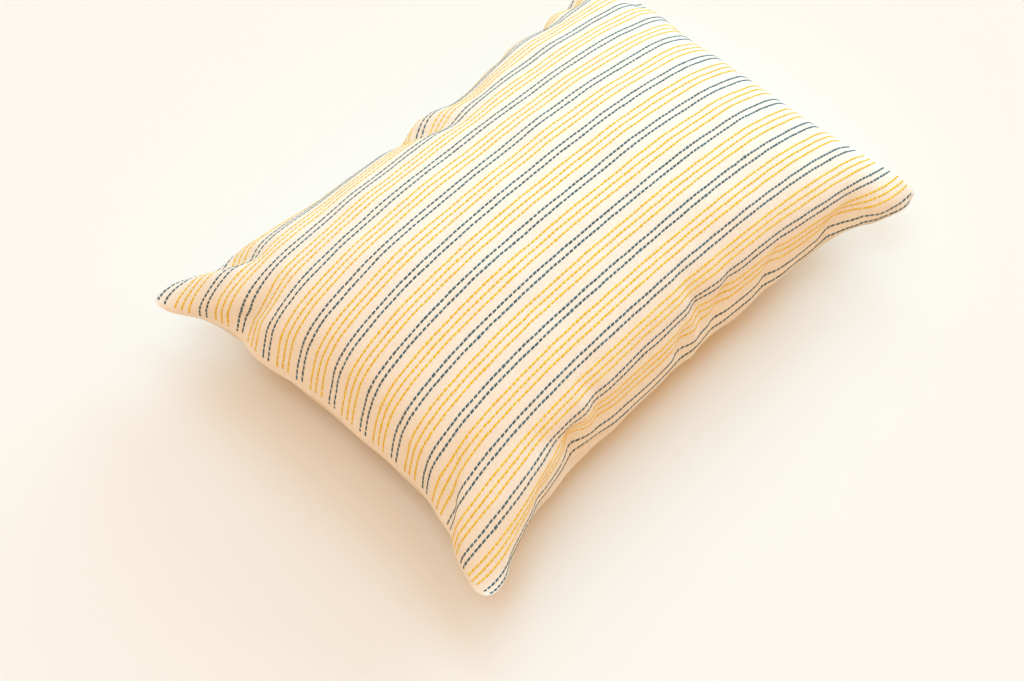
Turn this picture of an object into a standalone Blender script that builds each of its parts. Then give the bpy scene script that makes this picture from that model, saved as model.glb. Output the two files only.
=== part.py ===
"""Lumbar pillow: one filled solid, lying on its back.

Front and back panels are cut to one size and sewn knife-edge all round. The filling raises the
crown, so the panels draw in along their sides and leave four pointed ears. X runs along the
pillow, in the direction of its stripes, Y across it and Z up. All sizes are in metres.
"""
import math

import bmesh
import bpy
import numpy as np

NAME = "pillow"

# Cut panel, seam to seam: the 14 by 20 inch lumbar size
PANEL_LENGTH = 0.508
PANEL_WIDTH = 0.356

# Filled shape
CROWN_RISE = 0.078          # top of the crown above the seam's highest run
SEAM_HEIGHT = 0.070         # that run above the surface that the pillow lies on
LENGTH_FULLNESS = 2.6       # how late the crown falls off towards the short edges
WIDTH_FULLNESS = 1.9        # and towards the long edges
LENGTH_STEEPNESS = 0.71     # below 1 the crown drops more steeply at the short edges
WIDTH_STEEPNESS = 0.86      # and at the long edges
UNDERSIDE_SPREAD = 1.25     # how far the flattened underside reaches towards the seam
UNDERSIDE_ROUNDING = 2.0    # how softly it turns up at its rim
LONG_SIDE_TUCK = -0.004     # how far the back panel bulges out under the long seams
SHORT_SIDE_TUCK = 0.008     # and turns in under the short seams
TUCK_SHARPNESS = 6.0        # how close to the seams that stays
REST_LENGTH = 0.405         # the flat patch that it lies on, as a share of the panel's length
REST_WIDTH = 0.370          # and of its width
REST_LIFT = 0.010           # how fast the back panel lifts off beyond that patch
STEEPEST_RUN = 0.14         # least sideways run of cloth where the crown's side is upright

# How far the seam hangs below its highest run, at each ear and in the middle of each side.
#   side along X, side along Y, droop; 0 stands for the middle of a side
SEAM_DROOPS = (
    (-1, +1, 0.016),
    (-1, 0, 0.027),
    (-1, -1, 0.020),
    (0, -1, 0.028),
    (+1, -1, 0.001),
    (+1, +1, 0.007),
    (0, +1, 0.010),
)
SEAM_SHARPNESS = 7.3        # how close to the seam the droop keeps

# Where a side bows out of the line that the crown alone would draw it in to, or with a negative
# shift is drawn in farther. Each place is from -1 to 1 along the side.
#   side, place, shift
SHORT_SIDE_SHIFTS = (
    (-1, 0.93, -0.0044),
    (-1, 0.80, -0.0052),
    (-1, 0.65, -0.0028),
    (-1, 0.45, 0.0026),
    (-1, 0.20, 0.0012),
    (-1, -0.05, 0.0022),
    (-1, -0.45, -0.0026),
    (-1, -0.60, 0.0008),
    (-1, -0.75, 0.0050),
    (-1, -0.93, -0.0058),
)
LONG_SIDE_SHIFTS = (
    (-1, -0.95, -0.0068),
    (-1, -0.85, 0.0012),
    (-1, -0.75, 0.0022),
    (-1, -0.62, -0.0024),
    (-1, -0.45, -0.0042),
    (-1, -0.30, 0.0008),
    (-1, -0.10, 0.0010),
    (-1, 0.10, 0.0012),
    (-1, 0.55, 0.0018),
    (+1, -0.95, 0.0020),
    (+1, -0.85, -0.0050),
    (+1, -0.72, 0.0020),
)
SHIFT_REACH = 0.030         # how far along the side each shift reaches
SHIFT_SHARPNESS = 6.0       # how close to the seam it keeps
BACK_SHARPNESS = 14.0       # and how much closer than that in the back panel

# Folds in the front panel. Start and end are places on the flat panel, from -1 to 1 along its
# length and its width, with the start on the seam. A negative depth is a ridge.
#   start_x, start_y, end_x, end_y, depth, half_width
FOLDS = (
    (-1.00, 0.63, -0.70, 0.48, 0.010, 0.012),  # notch below the far left ear
    (-0.82, 1.00, -0.66, 0.68, 0.011, 0.010),  # hollow behind the far left ear
    (-0.90, 1.00, -0.73, 0.66, -0.003, 0.012),  # ridge along the far left ear
    (-1.00, -0.63, -0.70, -0.47, 0.008, 0.009),  # pinch below the near ear
    (-0.64, -1.00, -0.67, -0.80, 0.0015, 0.008),  # small kink in the near seam
    (-0.43, -1.00, -0.53, -0.74, 0.0068, 0.011),  # deep tuck in the near edge
    (-0.50, -0.86, -0.68, -0.66, 0.003, 0.010),  # its soft end
    (-0.39, -1.00, -0.43, -0.66, -0.003, 0.009),  # ridge beside the tuck
    (-0.35, -1.00, -0.42, -0.66, 0.004, 0.009),  # its second bend
    (-0.01, -1.00, 0.02, -0.82, 0.004, 0.008),  # short crease of the near edge
    (0.06, -1.00, 0.06, -0.80, -0.002, 0.010),  # ridge beside it
    (0.11, -1.00, 0.04, -0.60, 0.004, 0.006),  # sharp crease of the near edge
    (0.15, -1.00, 0.07, -0.60, 0.003, 0.012),  # slack beside it
    (0.15, -1.00, 0.26, -0.70, 0.005, 0.007),  # crease that leans right
    (0.38, -1.00, 0.47, -0.80, 0.004, 0.008),  # short crease farther right
    (0.62, -1.00, 0.88, -0.77, 0.006, 0.013),  # dent beside the right ear
    (0.82, -1.00, 0.97, -0.84, -0.003, 0.010),  # ridge below it
    (-0.20, 1.00, 0.07, 0.48, 0.011, 0.010),  # deep pucker of the far edge
    (-0.06, 1.00, 0.12, 0.56, -0.004, 0.012),  # ridge beside it
    (0.36, 1.00, 0.35, 0.76, 0.003, 0.010),  # dent of the far edge
    (0.42, 1.00, 0.40, 0.50, -0.006, 0.040),  # fuller part of the far edge
    (0.57, 1.00, 0.54, 0.78, 0.004, 0.010),  # dent farther right
    (0.68, 1.00, 0.64, 0.78, -0.003, 0.012),  # bump beside it
    (0.80, 1.00, 0.72, 0.78, 0.005, 0.013),  # dent before the last ear
    (1.00, 0.66, 0.80, 0.58, 0.005, 0.013),  # notch of the far short side
    (1.00, -0.64, 0.80, -0.56, 0.0015, 0.013),  # notch below the right ear
)
FOLD_AT_SEAM = 0.25         # share of a fold's depth that is left where it meets the seam
FOLD_PEAK = 0.30            # where along its length a fold is deepest
SEAM_FOLD_REACH = 0.020     # how far a fold runs on past the seam into the back panel

# Mesh
CELLS_LONG = 60
CELLS_WIDE = 44
EDGE_CROWDING = 0.55        # 0 spaces the mesh lines evenly, 1 crowds them at the seam
NET_PASSES = 14
WELD = 1e-5

CREAM = (0.86, 0.76, 0.60, 1.0)
CLOTH_ROUGHNESS = 0.92


def clear_scene():
    """Remove every object that the file holds."""
    for item in list(bpy.data.objects):
        bpy.data.objects.remove(item, do_unlink=True)


def panel_lines(cells):
    """Places of the mesh lines from seam to seam, -1 to 1, closer together at the seams."""
    even = np.linspace(-1.0, 1.0, cells + 1)
    crowded = np.sin(even * math.pi / 2)
    return (1 - EDGE_CROWDING) * even + EDGE_CROWDING * crowded


def fullness(along, across):
    """Share of the full crown at places on the panel, 0 on the seam and 1 in the middle."""
    lengthways = (1 - np.abs(along) ** LENGTH_FULLNESS) ** LENGTH_STEEPNESS
    widthways = (1 - np.abs(across) ** WIDTH_FULLNESS) ** WIDTH_STEEPNESS
    return lengthways * widthways


def side_share(place, side):
    """How much places belong to one side of the panel, or with side 0 to neither."""
    near_seam = np.abs(place) ** SEAM_SHARPNESS
    if side == 0:
        return 1 - near_seam
    return near_seam * (place * side > 0)


def seam_droop(along, across):
    """How far the cloth hangs below the seam's highest run."""
    droop = np.zeros_like(along)
    for side_x, side_y, depth in SEAM_DROOPS:
        droop += depth * side_share(along, side_x) * side_share(across, side_y)
    return droop


def seam_shift(toward, beside, half_side, shifts):
    """Add up the outward shifts of the two sides that one coordinate of the panel runs to."""
    total = np.zeros_like(toward)
    for side, place, shift in shifts:
        near_place = np.exp(-((beside - place) * half_side / SHIFT_REACH) ** 2)
        near_seam = np.abs(toward) ** SHIFT_SHARPNESS * (toward * side > 0)
        total += shift * near_place * near_seam
    return total


def running_length(run, places, axis):
    """Add up the sideways run of cloth from the panel's middle along one axis."""
    run = np.moveaxis(run, axis, 0)
    steps = np.diff(places)[:, None]
    spans = 0.5 * (run[1:] + run[:-1]) * steps
    total = np.concatenate([np.zeros((1, run.shape[1])), np.cumsum(spans, axis=0)])
    total = total - total[len(places) // 2]
    return np.moveaxis(total, 0, axis)


def lay_cloth(height, lines_x, lines_y):
    """Spread the panel over its heights so that each thread keeps its own length.

    Where the crown is steep the thread has less sideways run left, which draws the sides in.
    """
    half_x, half_y = PANEL_LENGTH / 2, PANEL_WIDTH / 2
    along_x, along_y = lines_x * half_x, lines_y * half_y
    x, y = np.meshgrid(along_x, along_y)
    rise_x = np.gradient(height, along_x, axis=1)
    rise_y = np.gradient(height, along_y, axis=0)
    for _ in range(NET_PASSES):
        lean_x = np.gradient(y, along_x, axis=1)
        lean_y = np.gradient(x, along_y, axis=0)
        run_x = np.sqrt(np.clip(1 - rise_x ** 2 - lean_x ** 2, STEEPEST_RUN ** 2, 1))
        run_y = np.sqrt(np.clip(1 - rise_y ** 2 - lean_y ** 2, STEEPEST_RUN ** 2, 1))
        x = 0.5 * (x + running_length(run_x, along_x, 1))
        y = 0.5 * (y + running_length(run_y, along_y, 0))
    return x, y


def outward(points):
    """Unit normals of a grid of points, pointing up and out."""
    normal = np.cross(np.gradient(points, axis=1), np.gradient(points, axis=0))
    return normal / np.linalg.norm(normal, axis=2, keepdims=True)


def fold_taper(place):
    """Share of a fold's depth along its length: 0 is its start at the seam and 1 its end."""
    rise = np.sin(np.clip(place / FOLD_PEAK, 0, 1) * math.pi / 2) ** 2
    fall = np.cos(np.clip((place - FOLD_PEAK) / (1 - FOLD_PEAK), 0, 1) * math.pi / 2) ** 2
    return (FOLD_AT_SEAM + (1 - FOLD_AT_SEAM) * rise) * fall


def fold_depth(along, across):
    """How far the folds sink the front panel at places on it."""
    u, v = along * PANEL_LENGTH / 2, across * PANEL_WIDTH / 2
    depth = np.zeros_like(u)
    for start_x, start_y, end_x, end_y, sink, half_width in FOLDS:
        u0, v0 = start_x * PANEL_LENGTH / 2, start_y * PANEL_WIDTH / 2
        du, dv = end_x * PANEL_LENGTH / 2 - u0, end_y * PANEL_WIDTH / 2 - v0
        reach = math.hypot(du, dv)
        along_fold = ((u - u0) * du + (v - v0) * dv) / reach ** 2
        off_line = ((v - v0) * du - (u - u0) * dv) / reach
        depth += sink * fold_taper(along_fold) * np.exp(-(off_line / half_width) ** 2)
    return depth


def panel_grids():
    """Points of the front and back panels, as grids with a shared rim along the seam."""
    lines_x, lines_y = panel_lines(CELLS_LONG), panel_lines(CELLS_WIDE)
    along, across = np.meshgrid(lines_x, lines_y)
    full = fullness(along, across)
    droop = seam_droop(along, across)
    top = CROWN_RISE * full - droop
    flattened = 1 - (1 - np.minimum(UNDERSIDE_SPREAD * full, 1)) ** UNDERSIDE_ROUNDING
    x, y = lay_cloth(top, lines_x, lines_y)
    half_length, half_width = PANEL_LENGTH / 2, PANEL_WIDTH / 2
    shift_x = np.sign(along) * seam_shift(along, across, half_width, SHORT_SIDE_SHIFTS)
    shift_y = np.sign(across) * seam_shift(across, along, half_length, LONG_SIDE_SHIFTS)
    front = np.stack([x + shift_x, y + shift_y, SEAM_HEIGHT + top], axis=2)
    back_share = np.maximum(np.abs(along), np.abs(across)) ** BACK_SHARPNESS
    belly = 4 * flattened * (1 - flattened)
    near_x = np.sign(along) * np.abs(along) ** TUCK_SHARPNESS
    near_y = np.sign(across) * np.abs(across) ** TUCK_SHARPNESS
    under_x = x - SHORT_SIDE_TUCK * belly * near_x + shift_x * back_share
    under_y = y - LONG_SIDE_TUCK * belly * near_y + shift_y * back_share
    past_patch = (np.maximum(np.abs(along) - REST_LENGTH, 0)
                  + np.maximum(np.abs(across) - REST_WIDTH, 0))
    under_z = (SEAM_HEIGHT - droop) * (1 - flattened) + REST_LIFT * past_patch * flattened
    back = np.stack([under_x, under_y, under_z], axis=2)

    sink = fold_depth(along, across)[..., None] * outward(front)
    from_seam = np.minimum((1 - np.abs(along)) * PANEL_LENGTH, (1 - np.abs(across)) * PANEL_WIDTH) / 2
    fade = np.exp(-(from_seam / SEAM_FOLD_REACH) ** 2) * (1 - flattened)
    return front - sink, back - sink * fade[..., None]


def add_panel(mesh, grid, facing_up):
    """Add one panel to the mesh as a quad grid, moved onto its points."""
    rows, columns = grid.shape[:2]
    made = bmesh.ops.create_grid(mesh, x_segments=columns - 1, y_segments=rows - 1, size=1.0)
    for vert in made["verts"]:
        column = round((vert.co.x + 1) / 2 * (columns - 1))
        row = round((vert.co.y + 1) / 2 * (rows - 1))
        vert.co = grid[row, column]
    if not facing_up:
        faces = list({face for vert in made["verts"] for face in vert.link_faces})
        bmesh.ops.reverse_faces(mesh, faces=faces)


def cream_cloth():
    """Matte cream cotton."""
    material = bpy.data.materials.new("cream_cotton")
    material.use_nodes = True
    shader = material.node_tree.nodes["Principled BSDF"]
    shader.inputs["Base Color"].default_value = CREAM
    shader.inputs["Roughness"].default_value = CLOTH_ROUGHNESS
    shader.inputs["Metallic"].default_value = 0.0
    return material


def build_pillow():
    """Sew the two panels together into one closed solid, centred on the origin."""
    front, back = panel_grids()
    mesh = bmesh.new()
    add_panel(mesh, front, facing_up=True)
    add_panel(mesh, back, facing_up=False)
    bmesh.ops.remove_doubles(mesh, verts=mesh.verts, dist=WELD)
    corners = np.array([vert.co for vert in mesh.verts])
    low, high = corners.min(axis=0), corners.max(axis=0)
    shift = (-(low[0] + high[0]) / 2, -(low[1] + high[1]) / 2, -low[2])
    bmesh.ops.translate(mesh, verts=mesh.verts, vec=shift)
    data = bpy.data.meshes.new(NAME)
    mesh.to_mesh(data)
    mesh.free()
    data.materials.append(cream_cloth())
    pillow = bpy.data.objects.new(NAME, data)
    bpy.context.scene.collection.objects.link(pillow)
    return pillow


clear_scene()
build_pillow()
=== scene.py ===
"""The finish of a lumbar pillow: a filled cover of cream cotton with dashed stripes.

The frame holds the pillow as one plain solid. This script sews a cover of the same cut over that
shape, lets it fill out as cloth, and works the stripes into it as rows of running stitch. X runs
along the stripes, Y across them and Z up. All sizes are in metres.
"""

import logging
import math
from dataclasses import dataclass, field
from enum import Enum
from typing import Any

import bmesh
import bpy
import numpy as np
from mathutils import Matrix, Vector, noise

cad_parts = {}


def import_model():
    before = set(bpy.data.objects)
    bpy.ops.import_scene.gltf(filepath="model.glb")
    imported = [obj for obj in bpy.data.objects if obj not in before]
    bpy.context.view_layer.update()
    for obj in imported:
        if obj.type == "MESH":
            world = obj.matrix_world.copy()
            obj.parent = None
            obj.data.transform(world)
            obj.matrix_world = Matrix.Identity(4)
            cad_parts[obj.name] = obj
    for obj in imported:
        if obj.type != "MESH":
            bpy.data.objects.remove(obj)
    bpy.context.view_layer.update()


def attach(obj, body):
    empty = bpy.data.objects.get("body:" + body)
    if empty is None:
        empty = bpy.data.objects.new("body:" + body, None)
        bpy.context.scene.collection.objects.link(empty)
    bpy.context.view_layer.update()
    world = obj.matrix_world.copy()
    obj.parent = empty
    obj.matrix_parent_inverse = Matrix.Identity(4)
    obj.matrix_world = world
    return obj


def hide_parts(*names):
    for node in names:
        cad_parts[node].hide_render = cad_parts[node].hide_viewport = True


LOG = logging.getLogger("pillow")
NODE = "pillow"
BODY = "root"

# How many cells a place may lie from the cover's edge and still be on the seam.
SEAM_NEARNESS = 0.01

# How fine each noise of the cotton is, in waves to the metre.
FUZZ_SCALE = 2600.0
GRAIN_SCALE = 800.0
BLOTCH_SCALE = 55.0

Grid = np.ndarray
Points = np.ndarray


class Yarn(Enum):
    """The two coloured yarns of the stripes, each with how many lines make one stripe."""

    NAVY = 2
    MUSTARD = 3


@dataclass(frozen=True)
class Cut:
    """The flat size of each panel, from seam to seam."""

    length: float = 0.508
    width: float = 0.356

    def to_metres(self, along: Grid, across: Grid) -> tuple[Grid, Grid]:
        """Turn places from -1 to 1 on the panel into metres from its middle."""
        return along * self.length / 2, across * self.width / 2


@dataclass(frozen=True)
class Droop:
    """How far the seam hangs at one ear, or in the middle of a side whose other side is 0."""

    side_x: int
    side_y: int
    depth: float


@dataclass(frozen=True)
class SideShift:
    """How far one place of a side bows out of line, or with a negative shift is drawn in.

    The side is -1 or 1, and the place is from -1 to 1 along it.
    """

    side: int
    place: float
    shift: float


@dataclass(frozen=True)
class Fold:
    """A crease in the front panel, from the seam inwards; a negative depth is a ridge.

    The start and the end are places on the flat panel, from -1 to 1 along its length and width.
    """

    start_x: float
    start_y: float
    end_x: float
    end_y: float
    depth: float
    half_width: float


DROOPS = (
    Droop(-1, +1, 0.016),
    Droop(-1, 0, 0.027),
    Droop(-1, -1, 0.020),
    Droop(0, -1, 0.028),
    Droop(+1, -1, 0.001),
    Droop(+1, +1, 0.007),
    Droop(0, +1, 0.010),
)

SHORT_SIDE_SHIFTS = (
    SideShift(-1, 0.93, -0.0044),
    SideShift(-1, 0.80, -0.0052),
    SideShift(-1, 0.65, -0.0028),
    SideShift(-1, 0.45, 0.0026),
    SideShift(-1, 0.20, 0.0012),
    SideShift(-1, -0.05, 0.0022),
    SideShift(-1, -0.45, -0.0026),
    SideShift(-1, -0.60, 0.0008),
    SideShift(-1, -0.75, 0.0050),
    SideShift(-1, -0.93, -0.0058),
)

LONG_SIDE_SHIFTS = (
    SideShift(-1, -0.95, -0.0068),
    SideShift(-1, -0.85, 0.0012),
    SideShift(-1, -0.75, 0.0022),
    SideShift(-1, -0.62, -0.0024),
    SideShift(-1, -0.45, -0.0042),
    SideShift(-1, -0.30, 0.0008),
    SideShift(-1, -0.10, 0.0010),
    SideShift(-1, 0.10, 0.0012),
    SideShift(-1, 0.55, 0.0018),
    SideShift(+1, -0.95, 0.0020),
    SideShift(+1, -0.85, -0.0050),
    SideShift(+1, -0.72, 0.0020),
)

FOLDS = (
    Fold(-1.00, 0.63, -0.70, 0.48, 0.010, 0.012),
    Fold(-0.82, 1.00, -0.66, 0.68, 0.011, 0.010),
    Fold(-0.90, 1.00, -0.73, 0.66, -0.003, 0.012),
    Fold(-1.00, -0.63, -0.70, -0.47, 0.008, 0.009),
    Fold(-0.64, -1.00, -0.67, -0.80, 0.0015, 0.008),
    Fold(-0.43, -1.00, -0.53, -0.74, 0.0068, 0.011),
    Fold(-0.50, -0.86, -0.68, -0.66, 0.003, 0.010),
    Fold(-0.39, -1.00, -0.43, -0.66, -0.003, 0.009),
    Fold(-0.35, -1.00, -0.42, -0.66, 0.004, 0.009),
    Fold(-0.01, -1.00, 0.02, -0.82, 0.004, 0.008),
    Fold(0.06, -1.00, 0.06, -0.80, -0.002, 0.010),
    Fold(0.11, -1.00, 0.04, -0.60, 0.004, 0.006),
    Fold(0.15, -1.00, 0.07, -0.60, 0.003, 0.012),
    Fold(0.15, -1.00, 0.26, -0.70, 0.005, 0.007),
    Fold(0.38, -1.00, 0.47, -0.80, 0.004, 0.008),
    Fold(0.62, -1.00, 0.88, -0.77, 0.006, 0.013),
    Fold(0.82, -1.00, 0.97, -0.84, -0.003, 0.010),
    Fold(-0.20, 1.00, 0.07, 0.48, 0.011, 0.010),
    Fold(-0.06, 1.00, 0.12, 0.56, -0.004, 0.012),
    Fold(0.36, 1.00, 0.35, 0.76, 0.003, 0.010),
    Fold(0.42, 1.00, 0.40, 0.50, -0.006, 0.040),
    Fold(0.57, 1.00, 0.54, 0.78, 0.004, 0.010),
    Fold(0.68, 1.00, 0.64, 0.78, -0.003, 0.012),
    Fold(0.80, 1.00, 0.72, 0.78, 0.005, 0.013),
    Fold(1.00, 0.66, 0.80, 0.58, 0.005, 0.013),
    Fold(1.00, -0.64, 0.80, -0.56, 0.0015, 0.013),
)


@dataclass
class FilledShape:
    """The form that the filling gives the two panels, as the frame's solid has it."""

    cut: Cut = Cut()
    crown_rise: float = 0.078
    seam_height: float = 0.070
    length_fullness: float = 2.6
    width_fullness: float = 1.9
    length_steepness: float = 0.71
    width_steepness: float = 0.86
    underside_spread: float = 1.25
    underside_rounding: float = 2.0
    long_side_tuck: float = -0.004
    short_side_tuck: float = 0.008
    tuck_sharpness: float = 6.0
    rest_length: float = 0.405
    rest_width: float = 0.370
    rest_lift: float = 0.010
    shift_reach: float = 0.030
    shift_sharpness: float = 6.0
    back_sharpness: float = 14.0
    steepest_run: float = 0.14
    seam_sharpness: float = 7.3
    fold_at_seam: float = 0.25
    fold_peak: float = 0.30
    seam_fold_reach: float = 0.020
    cells_long: int = 128
    cells_wide: int = 92
    edge_crowding: float = 0.45
    net_passes: int = 14

    def lines(self, cells: int) -> Grid:
        """Places of the mesh lines from seam to seam, closer together at the seams.

        Args:
            cells: How many cells lie between the seams.

        Returns:
            The places, from -1 to 1.
        """
        even = np.linspace(-1.0, 1.0, cells + 1)
        return (1 - self.edge_crowding) * even + self.edge_crowding * np.sin(even * math.pi / 2)

    def fullness(self, along: Grid, across: Grid) -> Grid:
        """Share of the full crown at places on the panel, 0 on the seam and 1 in the middle."""
        lengthways = (1 - np.abs(along) ** self.length_fullness) ** self.length_steepness
        widthways = (1 - np.abs(across) ** self.width_fullness) ** self.width_steepness
        return lengthways * widthways

    def side_share(self, place: Grid, side: int) -> Grid:
        """How much places belong to one side of the panel, or with side 0 to neither."""
        near_seam = np.abs(place) ** self.seam_sharpness
        if side == 0:
            return 1 - near_seam
        return near_seam * (place * side > 0)

    def droop(self, along: Grid, across: Grid) -> Grid:
        """How far the cloth hangs below the seam's highest run."""
        hang = np.zeros_like(along)
        for droop in DROOPS:
            share = self.side_share(along, droop.side_x) * self.side_share(across, droop.side_y)
            hang += droop.depth * share
        return hang

    def seam_shift(self, toward: Grid, beside: Grid, half_side: float,
                   shifts: tuple[SideShift, ...]) -> Grid:
        """Add up the outward shifts of two opposite sides, fading away from the seam.

        Args:
            toward: Places along the axis that runs to those sides.
            beside: Places along the sides.
            half_side: Half a side's length.
            shifts: The shifts of both sides.

        Returns:
            The outward distance at each place.
        """
        total = np.zeros_like(toward)
        for one in shifts:
            near_place = np.exp(-((beside - one.place) * half_side / self.shift_reach) ** 2)
            near_seam = np.abs(toward) ** self.shift_sharpness * (toward * one.side > 0)
            total += one.shift * near_place * near_seam
        return total

    def lay_cloth(self, height: Grid, lines_x: Grid, lines_y: Grid) -> tuple[Grid, Grid]:
        """Spread a panel over its heights so that each thread keeps its own length.

        Args:
            height: The height of each place on the panel.
            lines_x: Places of the mesh lines along the panel.
            lines_y: Places of the mesh lines across it.

        Returns:
            The X and Y of each place, drawn in where the crown is steep.
        """
        along_x = lines_x * self.cut.length / 2
        along_y = lines_y * self.cut.width / 2
        x, y = np.meshgrid(along_x, along_y)
        rise_x = np.gradient(height, along_x, axis=1)
        rise_y = np.gradient(height, along_y, axis=0)
        least = self.steepest_run ** 2
        for _ in range(self.net_passes):
            lean_x = np.gradient(y, along_x, axis=1)
            lean_y = np.gradient(x, along_y, axis=0)
            run_x = np.sqrt(np.clip(1 - rise_x ** 2 - lean_x ** 2, least, 1))
            run_y = np.sqrt(np.clip(1 - rise_y ** 2 - lean_y ** 2, least, 1))
            x = 0.5 * (x + running_length(run_x, along_x, 1))
            y = 0.5 * (y + running_length(run_y, along_y, 0))
        return x, y

    def fold_taper(self, place: Grid) -> Grid:
        """Share of a fold's depth along its length: 0 is its start at the seam and 1 its end."""
        rise = np.sin(np.clip(place / self.fold_peak, 0, 1) * math.pi / 2) ** 2
        past_peak = np.clip((place - self.fold_peak) / (1 - self.fold_peak), 0, 1)
        fall = np.cos(past_peak * math.pi / 2) ** 2
        return (self.fold_at_seam + (1 - self.fold_at_seam) * rise) * fall

    def fold_depth(self, along: Grid, across: Grid) -> Grid:
        """How far the folds sink the front panel at places on it.

        Args:
            along: Places along the panel, from -1 to 1.
            across: Places across it.

        Returns:
            The depth at each place in metres.
        """
        u, v = self.cut.to_metres(along, across)
        depth = np.zeros_like(u)
        for fold in FOLDS:
            u0, v0 = self.cut.to_metres(fold.start_x, fold.start_y)
            u1, v1 = self.cut.to_metres(fold.end_x, fold.end_y)
            du, dv = u1 - u0, v1 - v0
            reach = math.hypot(du, dv)
            along_fold = ((u - u0) * du + (v - v0) * dv) / reach ** 2
            off_line = ((v - v0) * du - (u - u0) * dv) / reach
            profile = np.exp(-(off_line / fold.half_width) ** 2)
            depth += fold.depth * self.fold_taper(along_fold) * profile
        return depth

    def grids(self) -> tuple[Grid, Grid, Grid]:
        """Work out both panels.

        Returns:
            The front's points, the back's points, and how flat the back lies at each place.
        """
        lines_x, lines_y = self.lines(self.cells_long), self.lines(self.cells_wide)
        along, across = np.meshgrid(lines_x, lines_y)
        full = self.fullness(along, across)
        droop = self.droop(along, across)
        top = self.crown_rise * full - droop
        spread = np.minimum(self.underside_spread * full, 1)
        flat = 1 - (1 - spread) ** self.underside_rounding
        x, y = self.lay_cloth(top, lines_x, lines_y)
        half_length, half_width = self.cut.length / 2, self.cut.width / 2
        shift_x = np.sign(along) * self.seam_shift(along, across, half_width, SHORT_SIDE_SHIFTS)
        shift_y = np.sign(across) * self.seam_shift(across, along, half_length, LONG_SIDE_SHIFTS)
        front = np.stack([x + shift_x, y + shift_y, self.seam_height + top], axis=2)
        back_share = np.maximum(np.abs(along), np.abs(across)) ** self.back_sharpness
        belly = 4 * flat * (1 - flat)
        near_x = np.sign(along) * np.abs(along) ** self.tuck_sharpness
        near_y = np.sign(across) * np.abs(across) ** self.tuck_sharpness
        under_x = x - self.short_side_tuck * belly * near_x + shift_x * back_share
        under_y = y - self.long_side_tuck * belly * near_y + shift_y * back_share
        past_patch = (np.maximum(np.abs(along) - self.rest_length, 0)
                      + np.maximum(np.abs(across) - self.rest_width, 0))
        under_z = (self.seam_height - droop) * (1 - flat) + self.rest_lift * past_patch * flat
        back = np.stack([under_x, under_y, under_z], axis=2)

        sink = self.fold_depth(along, across)[..., None] * outward(front)
        from_seam = np.minimum((1 - np.abs(along)) * half_length, (1 - np.abs(across)) * half_width)
        fade = np.exp(-(from_seam / self.seam_fold_reach) ** 2) * (1 - flat)
        front, back = front - sink, back - sink * fade[..., None]
        ends = np.concatenate([front, back]).reshape(-1, 3)
        low, high = ends.min(axis=0), ends.max(axis=0)
        middle = np.array([(low[0] + high[0]) / 2, (low[1] + high[1]) / 2, low[2]])
        return front - middle, back - middle, flat


def running_length(run: Grid, places: Grid, axis: int) -> Grid:
    """Add up the sideways run of cloth from the panel's middle.

    Args:
        run: The run at each place.
        places: Where the mesh lines lie along the axis.
        axis: The grid's axis to add along.

    Returns:
        The distance of each place from the middle line.
    """
    run = np.moveaxis(run, axis, 0)
    steps = np.diff(places)[:, None]
    spans = 0.5 * (run[1:] + run[:-1]) * steps
    total = np.concatenate([np.zeros((1, run.shape[1])), np.cumsum(spans, axis=0)])
    total = total - total[len(places) // 2]
    return np.moveaxis(total, 0, axis)


def outward(points: Grid) -> Grid:
    """Unit normals of a grid of points, pointing up and out of the front."""
    normal = np.cross(np.gradient(points, axis=1), np.gradient(points, axis=0))
    return normal / np.linalg.norm(normal, axis=2, keepdims=True)


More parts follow.
